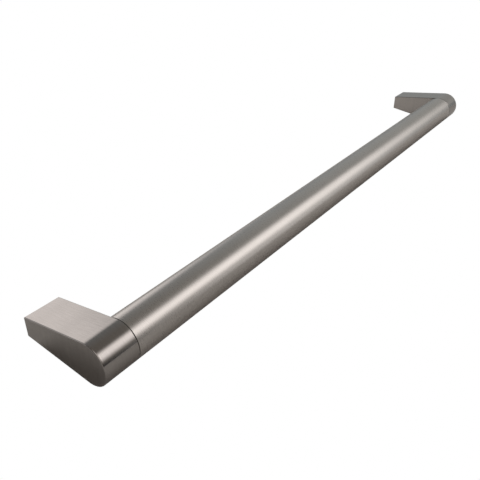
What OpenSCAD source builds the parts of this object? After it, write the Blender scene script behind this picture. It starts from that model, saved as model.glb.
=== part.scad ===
// Furniture pull handle: a round tube carried by two cast feet.
// X runs along the bar, the door lies on the +Y side of y = 0, and +Z is up.
// The origin is midway between the two fixing holes, on the mounting plane.

/* [Handle] */
// Distance between the centres of the two fixing holes
hole_spacing = 256; // [96:16:480]
// Distance from the mounting plane to the middle of the bar
bar_reach = 25.8; // [22:0.2:40]

/* [Bar] */
// Outside diameter of the bar, and of the round front of each foot
bar_d = 13.8; // [12:0.2:18]
// Wall of the tube
tube_wall = 1; // [0.8:0.1:1.5]
// Chamfer on the outer edge at each end of the tube
tube_chamfer = 0.15; // [0.05:0.05:0.3]

/* [Foot] */
// Width of a foot along the bar
foot_w = 12; // [9:0.5:20]
// Height of the mounting face, where a foot is slimmest
base_h = 6.7; // [6.5:0.1:10]
// Rounding of the edges round the outer end face
edge_r = 0.35; // [0.2:0.05:0.6]
// Rounding of the edges on the side that faces the bar
seam_r = 0.25; // [0.1:0.05:0.4]
// Chamfer round the mounting face
base_chamfer = 0.2; // [0.1:0.05:0.4]

/* [Spigot] */
// Length of the spigot inside the tube
spigot_len = 14; // [8:1:20]
// Gap between the spigot and the tube, which the ribs bridge
spigot_gap = 0.3; // [0.2:0.05:0.5]
// Number of ribs that grip the tube
rib_count = 8; // [4:1:12]
// Width of a rib
rib_w = 0.8; // [0.5:0.1:1.5]
// Chamfer on the end of the spigot
spigot_chamfer = 1; // [0.5:0.1:2]

/* [Fixing hole] */
// Outside diameter of the screw thread, an M4 thread at 4
thread_d = 4; // [3:0.5:4]
// Depth of the full thread from the mounting face
thread_depth = 12; // [8:0.5:14]
// Height of the countersink at the mouth, which opens the hole by twice as much
mouth_chamfer = 0.3; // [0.1:0.05:0.4]
// Included angle of the drilled end
drill_angle = 118; // [90:1:135]

/* [Hidden] */

// Fragments per turn on large and on small round faces
$fn = 96;
edge_fn = 32;

// Length that a cutter or a stock block runs past the face that it trims
over = 1;

// The flats lie this far inside the round front that they would just touch,
// and its rims are rounded this much less, so that their faces cross cleanly
sink = 0.003;
rim_step = 0.01;

bar_r = bar_d / 2;
bore_r = bar_r - tube_wall;
spigot_r = bore_r - spigot_gap;
thread_r = thread_d / 2;

// Place of a foot's inner face along the bar, where the tube ends
inner_x = hole_spacing / 2 - foot_w / 2;

// The flats run from the mounting face's corners and touch the round front.
// flat_tilt is the angle between a flat and the Y axis.
corner_dist = norm([bar_reach, base_h / 2]);
flat_tilt = 90 - atan2(base_h / 2, bar_reach) - acos((bar_r - sink) / corner_dist);

// A square-cut tube along X with a fine chamfer on both outer edges
module bar_tube() {
    color([0.64, 0.62, 0.60])
        translate([0, -bar_reach, 0])
            rotate([0, 90, 0])
                rotate_extrude()
                    polygon([
                        [bore_r, -inner_x],
                        [bar_r - tube_chamfer, -inner_x],
                        [bar_r, -inner_x + tube_chamfer],
                        [bar_r, inner_x - tube_chamfer],
                        [bar_r - tube_chamfer, inner_x],
                        [bore_r, inner_x]
                    ]);
}

// A rectangle from [0, 0] to [width, depth] with both far corners rounded:
// the one at x = 0 by near_r and the one at x = width by far_r
module rounded_end(width, depth, near_r, far_r) {
    polygon([
        [0, 0],
        [width, 0],
        [width, depth - far_r],
        [width - far_r, depth],
        [near_r, depth],
        [0, depth - near_r]
    ]);
    translate([near_r, depth - near_r])
        circle(near_r, $fn = edge_fn);
    translate([width - far_r, depth - far_r])
        circle(far_r, $fn = edge_fn);
}

// Stock under the upper flat, with the flat's two long edges rounded
module flat_stock() {
    translate([0, 0, base_h / 2])
        rotate([90 - flat_tilt, 0, 0])
            translate([0, -bar_d, -bar_r])
                linear_extrude(bar_r + bar_reach * cos(flat_tilt) - base_h / 2 * sin(flat_tilt))
                    rounded_end(foot_w, bar_d, seam_r, edge_r);
}

// Stock in front of the mounting face, with that face's four edges chamfered
module base_stock() {
    face_z = base_h / 2 - base_chamfer;
    intersection() {
        linear_extrude(bar_d, center = true)
            polygon([
                [0, -bar_reach],
                [foot_w, -bar_reach],
                [foot_w, -base_chamfer],
                [foot_w - base_chamfer, 0],
                [base_chamfer, 0],
                [0, -base_chamfer]
            ]);
        rotate([90, 0, 90])
            linear_extrude(foot_w)
                polygon([
                    [-bar_reach, -bar_r],
                    [face_z - bar_r, -bar_r],
                    [0, -face_z],
                    [0, face_z],
                    [face_z - bar_r, bar_r],
                    [-bar_reach, bar_r]
                ]);
    }
}

// The tapering part of a foot, from the mounting face to the round front
module foot_wedge() {
    intersection() {
        flat_stock();
        mirror([0, 0, 1])
            flat_stock();
        base_stock();
    }
}

// The round front of a foot, in line with the bar, with both rims rounded
module foot_front() {
    translate([0, -bar_reach, 0])
        rotate([0, 90, 0])
            rotate_extrude()
                rotate([0, 0, 90])
                    mirror([0, 1, 0])
                        rounded_end(foot_w, bar_r, seam_r - rim_step, edge_r - rim_step);
}

// The spigot with its ribs, which fills the end of the tube
module spigot() {
    tip_r = spigot_r - spigot_chamfer;
    translate([-spigot_len, -bar_reach, 0])
        rotate([0, 90, 0]) {
            cylinder(h = spigot_chamfer, r1 = tip_r, r2 = spigot_r);
            translate([0, 0, spigot_chamfer])
                cylinder(h = spigot_len - spigot_chamfer + over, r = spigot_r);
            translate([0, 0, 2 * spigot_chamfer])
                spigot_ribs(spigot_len - 2 * spigot_chamfer);
        }
}

// Ribs that stand from the spigot to the tube's bore
module spigot_ribs(length) {
    intersection() {
        cylinder(h = length, r = bore_r);
        for (i = [0 : rib_count - 1])
            rotate([0, 0, i * 360 / rib_count])
                translate([spigot_r - over, -rib_w / 2, 0])
                    cube([spigot_gap + 2 * over, rib_w, length]);
    }
}

// The tapped hole, drilled from the mounting face towards the bar
module fixing_hole() {
    point_h = thread_r / tan(drill_angle / 2);
    translate([foot_w / 2, 0, 0])
        rotate([90, 0, 0]) {
            translate([0, 0, -over])
                cylinder(h = thread_depth + over, r = thread_r);
            translate([0, 0, thread_depth])
                cylinder(h = point_h, r1 = thread_r, r2 = 0);
            translate([0, 0, -over])
                cylinder(h = over + mouth_chamfer, r1 = thread_r + mouth_chamfer + over, r2 = thread_r);
        }
}

// One foot, with its inner face on x = 0 and the tube on the -X side
module foot() {
    color([0.66, 0.63, 0.60])
        difference() {
            union() {
                foot_wedge();
                foot_front();
                spigot();
            }
            fixing_hole();
        }
}

module right_foot() {
    translate([inner_x, 0, 0])
        foot();
}

module left_foot() {
    mirror([1, 0, 0])
        right_foot();
}

bar_tube();
left_foot();
right_foot();
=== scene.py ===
"""A long bar pull handle in satin nickel, lying on a pale studio floor.

Units are metres in the frame of the CAD model: X along the bar, the mounting
faces on y = 0 and facing +Y, Z up, origin midway between the fixing holes.
"""

import math

import bpy
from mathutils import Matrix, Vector


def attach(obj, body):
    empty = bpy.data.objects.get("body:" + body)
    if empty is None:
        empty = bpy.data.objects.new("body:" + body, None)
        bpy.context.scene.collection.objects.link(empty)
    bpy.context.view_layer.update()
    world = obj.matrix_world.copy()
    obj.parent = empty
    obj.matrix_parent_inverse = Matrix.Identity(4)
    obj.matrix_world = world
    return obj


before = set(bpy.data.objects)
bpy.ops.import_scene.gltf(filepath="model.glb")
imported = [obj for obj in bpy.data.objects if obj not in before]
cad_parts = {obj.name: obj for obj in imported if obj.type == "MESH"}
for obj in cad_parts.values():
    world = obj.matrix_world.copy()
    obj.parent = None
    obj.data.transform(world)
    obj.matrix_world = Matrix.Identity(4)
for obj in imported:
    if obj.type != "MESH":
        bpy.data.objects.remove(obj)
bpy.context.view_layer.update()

# Sizes repeated from the CAD model: the middle of the holes and the inner faces
# of the feet along X, the bar's axis and radius, and the threads
HOLE_X = 0.128
INNER_X = 0.122
BAR_Y = -0.0258
BAR_R = 0.0069
THREAD_R = 0.002
THREAD_PITCH = 0.0007
THREAD_DEPTH = 0.012
MOUTH_DEPTH = 0.0003

# The thread's ridge: its height, half its width at the wall and at its top, and
# the radius of its foot, which is let into the wall a little
RIDGE_HEIGHT = 0.54 * THREAD_PITCH
RIDGE_FOOT = 0.4 * THREAD_PITCH
RIDGE_TOP = 0.12 * THREAD_PITCH
WALL_R = THREAD_R + 0.00001

# The ridge's mesh: the corners of its section, its steps in a turn, and the
# steps in which it rises from the wall at either end
CORNERS = 4
STEPS_A_TURN = 40
FADE_STEPS = 12

# Noise cells a metre. Brush lines across X have this many side by side, and a
# length that each material sets. Those on the feet's flat sides run up and
# down, and have theirs for X, Y and Z, as the clouds do.
FINE_LINES = 9000
WIDE_LINES = 2600
FINE_SIDE_LINES = (90, 9000, 90)
WIDE_SIDE_LINES = (40, 800, 40)
CLOUDS = (70, 160, 160)

# Cells along a wide stroke for each one along a fine stroke, the clouds' share
# of the shade, the part of a noise's range that is used, and the bump's height
WIDE_STROKE_CELLS = 0.7
CLOUD_SHARE = 0.3
NOISE_LOW = 0.35
NOISE_HIGH = 0.65
BUMP_HEIGHT = 0.00003

# How squarely a surface faces along X where the lines of the flat sides begin
# and are alone, and where the painted shade of the joint begins to fade and has ended
SIDE_LINES_FROM = 0.6
SIDE_LINES_ONLY = 0.8
JOINT_SHADE_FADES = 0.9
JOINT_SHADE_GONE = 0.98

# Painted shade in the joint lines: a dark line that stands in for the shade in
# the gap between tube and foot. Its colour and depth, how far from the joint it is
# full and ends, and the same outward from the tube's surface
JOINT_SHADE_COLOUR = (0.05, 0.045, 0.04, 1.0)
JOINT_SHADE_DEPTH = 0.85
JOINT_SHADE_FULL = 0.00005
JOINT_SHADE_END = 0.00022
RIM_FULL = 0.0002
RIM_END = 0.0006

# The floor lies just under the bar. Its front edge, mirrored in the near foot,
# makes the dark line under the highlight there.
FLOOR_Z = -0.00692
FLOOR_HALF = 4.0
FLOOR_FRONT = -0.20

X_AXIS = Vector((1, 0, 0))
Y_AXIS = Vector((0, 1, 0))
Z_AXIS = Vector((0, 0, 1))
WHITE = (1, 1, 1, 1)


# Helpers


class Graph:
    """A material's or the world's node tree, with short calls to build it.

    A value may be a number, a tuple or another node's socket, which is linked.
    """

    def __init__(self, owner):
        owner.use_nodes = True
        self.tree = owner.node_tree
        self.tree.nodes.clear()

    def add(self, kind, inputs=None, **settings):
        node = self.tree.nodes.new(kind)
        for name, value in settings.items():
            setattr(node, name, value)
        for name, value in (inputs or {}).items():
            socket = node.inputs[name]
            if isinstance(value, bpy.types.NodeSocket):
                self.tree.links.new(value, socket)
            else:
                socket.default_value = value
        return node

    def math(self, operation, first, second=0.0):
        inputs = {0: first, 1: second}
        return self.add("ShaderNodeMath", inputs, operation=operation).outputs[0]

    def times(self, first, second):
        return self.math("MULTIPLY", first, second)

    def size(self, value):
        """The value without its sign."""
        return self.math("ABSOLUTE", value)

    def span(self, value, low, high, out_low=0.0, out_high=1.0, smooth=True):
        """value from low..high to out_low..out_high, held at both ends."""
        node = self.add(
            "ShaderNodeMapRange",
            {
                "Value": value,
                "From Min": low,
                "From Max": high,
                "To Min": out_low,
                "To Max": out_high,
            },
            interpolation_type="SMOOTHSTEP" if smooth else "LINEAR",
        )
        return node.outputs["Result"]

    def noise(self, vector, detail=2.0, roughness=0.5):
        node = self.add(
            "ShaderNodeTexNoise",
            {"Vector": vector, "Scale": 1.0, "Detail": detail, "Roughness": roughness},
        )
        return node.outputs["Fac"]

    def vectors(self, operation, first, second, result="Vector"):
        inputs = {0: first, 1: second}
        node = self.add("ShaderNodeVectorMath", inputs, operation=operation)
        return node.outputs[result]

    def scaled(self, vector, scale):
        """The vector with each part multiplied by that of scale."""
        return self.vectors("MULTIPLY", vector, scale)

    def sum(self, first, second):
        return self.vectors("ADD", first, second)

    def dot(self, vector, axis):
        return self.vectors("DOT_PRODUCT", vector, axis, "Value")

    def distance(self, first, second):
        return self.vectors("DISTANCE", first, second, "Value")

    def scaled_by(self, vector, factor):
        """The whole vector multiplied by one factor."""
        inputs = {0: vector, "Scale": factor}
        node = self.add("ShaderNodeVectorMath", inputs, operation="SCALE")
        return node.outputs["Vector"]

    def blend(self, factor, first, second):
        """Two values mixed: the first where factor is 0, the second where it is 1."""
        inputs = {0: factor, 2: first, 3: second}
        return self.add("ShaderNodeMix", inputs, data_type="FLOAT").outputs[0]

    def tint(self, factor, first, second):
        """Two colours mixed in the same way."""
        inputs = {0: factor, 6: first, 7: second}
        return self.add("ShaderNodeMix", inputs, data_type="RGBA").outputs[2]

    def white_to_camera(self, lit, white, output):
        """End with the lit shader, and the white one where the camera sees it."""
        seen = self.add("ShaderNodeLightPath").outputs["Is Camera Ray"]
        shaders = {0: seen, 1: lit.outputs[0], 2: white.outputs[0]}
        mixed = self.add("ShaderNodeMixShader", shaders)
        self.add(output, {0: mixed.outputs[0]})


def new_object(name, data):
    """A new object, linked into the scene."""
    made = bpy.data.objects.new(name, data)
    bpy.context.scene.collection.objects.link(made)
    return made


# Materials


def brush_lines(graph, place, facing, stroke):
    """Fine and wide brush lines in equal parts, with values around 0.5.

    The lines run round the bar and along the feet, across the X axis, each
    about one stroke long. On the flat sides of the feet, where facing is near
    1, they run up and down.
    """
    cells = 1.0 / stroke
    wide_cells = WIDE_STROKE_CELLS * cells
    fine_scale = (FINE_LINES, cells, cells)
    wide_scale = (WIDE_LINES, wide_cells, wide_cells)
    side = graph.span(facing, SIDE_LINES_FROM, SIDE_LINES_ONLY)
    fine, wide = (
        graph.blend(
            side,
            graph.noise(graph.scaled(place, round_scale), **texture),
            graph.noise(graph.scaled(place, side_scale), **texture),
        )
        for round_scale, side_scale, texture in (
            (fine_scale, FINE_SIDE_LINES, {}),
            (wide_scale, WIDE_SIDE_LINES, {"detail": 3.0, "roughness": 0.6}),
        )
    )
    return graph.blend(0.5, fine, wide)


def painted_joint_shade(graph, place, facing):
    """How much painted shade lies at a place in the joint line of tube and foot, 0 to 1.
    It is a dark line that stands in for the shade in the gap between the parts.

    A foot's flat side is in the plane of the joint too, but gets none.
    """
    along = graph.size(graph.dot(place, X_AXIS))
    off_joint = graph.size(graph.math("SUBTRACT", along, INNER_X))
    near_joint = graph.span(off_joint, JOINT_SHADE_FULL, JOINT_SHADE_END, JOINT_SHADE_DEPTH, 0.0)
    off_side = graph.span(facing, JOINT_SHADE_FADES, JOINT_SHADE_GONE, 1.0, 0.0)
    off_axis = graph.distance(graph.scaled(place, (0, 1, 1)), (0, BAR_Y, 0))
    near_tube = graph.span(off_axis, BAR_R + RIM_FULL, BAR_R + RIM_END, 1.0, 0.0)
    return graph.times(graph.times(near_joint, off_side), near_tube)


def brushed_metal(name, tint, roughness, spread, grain, relief, stroke):
    """Satin nickel with brush lines that are about one stroke long.

    The lines change the roughness by up to spread, and with a cloudy noise
    they change the tint by up to the share grain. relief is their bump's strength.
    """
    material = bpy.data.materials.new(name)
    graph = Graph(material)
    place = graph.add("ShaderNodeTexCoord").outputs["Object"]
    normal = graph.add("ShaderNodeNewGeometry").outputs["Normal"]
    normal_parts = graph.add("ShaderNodeSeparateXYZ", {"Vector": normal})
    facing = graph.size(normal_parts.outputs["X"])

    streaks = brush_lines(graph, place, facing, stroke)
    cloud = graph.noise(graph.scaled(place, CLOUDS), detail=3.0)
    shade = graph.blend(CLOUD_SHARE, streaks, cloud)
    dark = tuple(part * (1 - grain) for part in tint) + (1.0,)
    light = tuple(part * (1 + grain) for part in tint) + (1.0,)
    lightness = graph.span(shade, NOISE_LOW, NOISE_HIGH, smooth=False)
    brushed_colour = graph.tint(lightness, dark, light)
    # Painted shade: a dark line in the joint between tube and foot, standing in for the
    # shade in the gap
    colour = graph.tint(painted_joint_shade(graph, place, facing), brushed_colour, JOINT_SHADE_COLOUR)

    rough = graph.span(
        streaks, NOISE_LOW, NOISE_HIGH, roughness - spread, roughness + spread, smooth=False
    )
    bump = graph.add(
        "ShaderNodeBump",
        {"Strength": relief, "Distance": BUMP_HEIGHT, "Height": streaks},
    )
    shader = graph.add(
        "ShaderNodeBsdfPrincipled",
        {
            "Base Color": colour,
            "Metallic": 1.0,
            "Roughness": rough,
            "Normal": bump.outputs["Normal"],
        },
    )
    graph.add("ShaderNodeOutputMaterial", {0: shader.outputs[0]})
    return material


foot_metal = brushed_metal(
    "satin_nickel_foot",
    tint=(0.575, 0.54, 0.52),
    roughness=0.15,
    spread=0.013,
    grain=0.085,
    relief=0.10,
    stroke=0.0035,
)
bar_metal = brushed_metal(
    "satin_nickel_bar",
    tint=(0.76, 0.72, 0.69),
    roughness=0.28,
    spread=0.010,
    grain=0.070,
    relief=0.01,
    stroke=0.0008,
)
for node, metal in (
    ("bar_tube", bar_metal),
    ("left_foot", foot_metal),
    ("right_foot", foot_metal),
):
    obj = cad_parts[node]
    for material_slot in obj.material_slots:
        material_slot.material = metal


# Threads


def thread_ridge(name, x):
    """The ridge of the M4 thread in one fixing hole, wound round the hole's wall."""
    start = MOUTH_DEPTH + THREAD_PITCH / 2
    turns = (THREAD_DEPTH - start - THREAD_PITCH / 2) / THREAD_PITCH
    steps = int(turns * STEPS_A_TURN)
    points = []
    for step in range(steps + 1):
        turn = step / STEPS_A_TURN
        angle = 2 * math.pi * turn
        depth = start + turn * THREAD_PITCH
        fade = min(1.0, step / FADE_STEPS, (steps - step) / FADE_STEPS)
        crest = THREAD_R - RIDGE_HEIGHT * fade
        for radius, shift in (
            (WALL_R, -RIDGE_FOOT),
            (crest, -RIDGE_TOP),
            (crest, RIDGE_TOP),
            (WALL_R, RIDGE_FOOT),
        ):
            sideways = radius * math.sin(angle)
            upward = radius * math.cos(angle)
            points.append((x - sideways, shift - depth, upward))
    end = CORNERS * steps
    faces = [tuple(range(CORNERS))]
    for here in range(0, end, CORNERS):
        ahead = here + CORNERS
        for corner in range(CORNERS):
            after = (corner + 1) % CORNERS
            faces.append((here + corner, ahead + corner, ahead + after, here + after))
    faces.append(tuple(end + corner for corner in reversed(range(CORNERS))))
    mesh = bpy.data.meshes.new(name)
    mesh.from_pydata(points, [], faces)
    mesh.materials.append(foot_metal)
    piece = new_object(name, mesh)
    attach(piece, "root")


thread_ridge("left_thread_ridge", -HOLE_X)
thread_ridge("right_thread_ridge", HOLE_X)


# Studio


def softbox(graph, ray, azimuth, elevation, across, above, edges):
    """How much of a soft-edged rectangular light a ray's direction meets, 0 to 1.

    All angles are in degrees. across and above say how far the light reaches
    from the azimuth and elevation, to the side and up. edges are the widths of
    its soft borders at the start and end of each.
    """
    turn = math.radians(azimuth)
    rise = math.radians(elevation)
    flat = math.cos(rise)
    out = Vector((flat * math.cos(turn), flat * math.sin(turn), math.sin(rise)))
    side = Vector((-math.sin(turn), math.cos(turn), 0.0))
    top = out.cross(side)
    sideways = graph.math("ARCTAN2", graph.dot(ray, side), graph.dot(ray, out))
    upward = graph.math("ARCSINE", graph.dot(ray, top))
    inside = 1.0
    for angle, limits, soft in (
        (sideways, across, edges[:2]),
        (upward, above, edges[2:]),
    ):
        for limit, width, levels in zip(limits, soft, ((0.0, 1.0), (1.0, 0.0))):
            low = math.radians(limit - width / 2)
            high = math.radians(limit + width / 2)
            inside = graph.times(graph.span(angle, low, high, *levels), inside)
    return inside


def studio_glow(graph):
    """The colour and strength of the studio's light from every direction.

    The front is -Y, away from the door, and the right is +X.
    """
    ray = graph.add("ShaderNodeTexCoord").outputs["Generated"]

    # The main light, high at the front right, brighter round its core
    front = softbox(
        graph, ray, azimuth=-80, elevation=38.5,
        across=(10, 54), above=(-15.4, 14.7), edges=(8, 8, 26, 18),
    )
    near_core = graph.dot(ray, Vector((0.47, -0.73, 0.50)))
    front = graph.times(front, graph.span(near_core, 0.92, 0.995, 1.0, 1.22))
    # A low light under it, on the same side
    sill = softbox(
        graph, ray, azimuth=-45, elevation=5,
        across=(-11, 13), above=(-9, 3), edges=(18, 24, 4, 12),
    )
    # A tall narrow light behind the handle, and a dim one to its left
    back = softbox(
        graph, ray, azimuth=67.5, elevation=-29,
        across=(-18.5, 14.5), above=(-77, 77), edges=(28, 32, 40, 22),
    )
    haze = softbox(
        graph, ray, azimuth=115, elevation=12,
        across=(-20, 20), above=(-20, 28), edges=(20, 24, 20, 24),
    )
    # A light at the front left that only reflections show
    left = softbox(
        graph, ray, azimuth=225, elevation=40,
        across=(-17, 28), above=(-24, 30), edges=(14, 24, 24, 24),
    )
    mirrored = graph.add("ShaderNodeLightPath").outputs["Is Glossy Ray"]
    left = graph.times(left, mirrored)
    # The room: warm walls and ceiling, a cooler right side and a bluish back
    walls = graph.span(graph.dot(ray, Z_AXIS), 0.0, 0.25)
    right = graph.span(graph.dot(ray, X_AXIS), 0.3, 1.04)
    behind = graph.span(graph.dot(ray, Y_AXIS), 0.0, 1.0, smooth=False)

    glow = None
    for amount, strength, colour in (
        (front, 0.90, (1.0, 0.967, 0.954)),
        (back, 0.79, (1.0, 0.94, 0.906)),
        (sill, 0.50, (1.0, 0.95, 0.92)),
        (haze, 0.30, (1.0, 0.94, 0.90)),
        (left, 0.60, (1.0, 0.96, 0.93)),
        (walls, 0.117, (1.0, 0.89, 0.77)),
        (right, 0.24, (0.93, 1.0, 1.0)),
        (behind, 0.06, (0.6, 1.0, 1.36)),
    ):
        part = graph.scaled_by(colour, graph.times(amount, strength))
        glow = part if glow is None else graph.sum(glow, part)
    return glow


def build_world():
    """The studio all round, which looks white to the camera itself."""
    world = bpy.data.worlds.new("studio")
    bpy.context.scene.world = world
    graph = Graph(world)
    glow = studio_glow(graph)
    lit = graph.add("ShaderNodeBackground", {"Color": glow, "Strength": 1.0})
    white = graph.add("ShaderNodeBackground", {"Color": WHITE, "Strength": 1.0})
    graph.white_to_camera(lit, white, "ShaderNodeOutputWorld")


def floor_lamp(name, place, aim, size, energy):
    """A soft round lamp for the floor alone, kept out of the reflections."""
    lamp = bpy.data.lights.new(name, "AREA")
    lamp.shape = "DISK"
    lamp.size = size
    lamp.color = (1.0, 0.98, 0.94)
    lamp.energy = energy
    holder = new_object(name, lamp)
    holder.location = place
    backward = Vector(place) - Vector(aim)
    holder.rotation_euler = backward.to_track_quat("Z", "Y").to_euler()
    holder.visible_camera = False
    holder.visible_glossy = False


def build_floor():
    """Matt paper that the metal mirrors from below, and that looks white."""
    mesh = bpy.data.meshes.new("floor")
    corners = [
        (-FLOOR_HALF, FLOOR_FRONT, FLOOR_Z),
        (FLOOR_HALF, FLOOR_FRONT, FLOOR_Z),
        (FLOOR_HALF, FLOOR_HALF, FLOOR_Z),
        (-FLOOR_HALF, FLOOR_HALF, FLOOR_Z),
    ]
    mesh.from_pydata(corners, [], [(0, 1, 2, 3)])
    paper = bpy.data.materials.new("floor_paper")
    graph = Graph(paper)
    matt = graph.add("ShaderNodeBsdfDiffuse", {"Color": (0.62, 0.61, 0.60, 1.0)})
    white = graph.add("ShaderNodeEmission", {"Color": WHITE, "Strength": 1.0})
    graph.white_to_camera(matt, white, "ShaderNodeOutputMaterial")
    mesh.materials.append(paper)
    floor = new_object("floor", mesh)


def build_camera():
    """The photograph's viewpoint, without shift or depth of field."""
    camera_data = bpy.data.cameras.new("camera")
    camera_data.sensor_width = 36.0
    camera_data.lens = 42.74
    camera_data.clip_start = 0.01
    camera_data.clip_end = 50.0
    camera = new_object("camera", camera_data)
    camera.location = (-0.19915, -0.12215, 0.10211)
    degrees = (59.317, 0.115, -53.826)
    camera.rotation_euler = tuple(math.radians(angle) for angle in degrees)
    bpy.context.scene.camera = camera


build_world()
floor_lamp("floor_lamp", place=(0.78, 0.675, 1.08), aim=(0, 0, 0), size=1.5, energy=7.5)
# The far foot's inner face mirrors the floor that this small lamp brightens
floor_lamp(
    "far_end_lamp",
    place=(0.085, 0.06, 0.08),
    aim=(0.105, 0, FLOOR_Z),
    size=0.05,
    energy=0.014,
)
build_floor()

view = bpy.context.scene.view_settings
view.view_transform = "Standard"
view.look = "None"
view.exposure = 0.0
view.gamma = 1.0

build_camera()
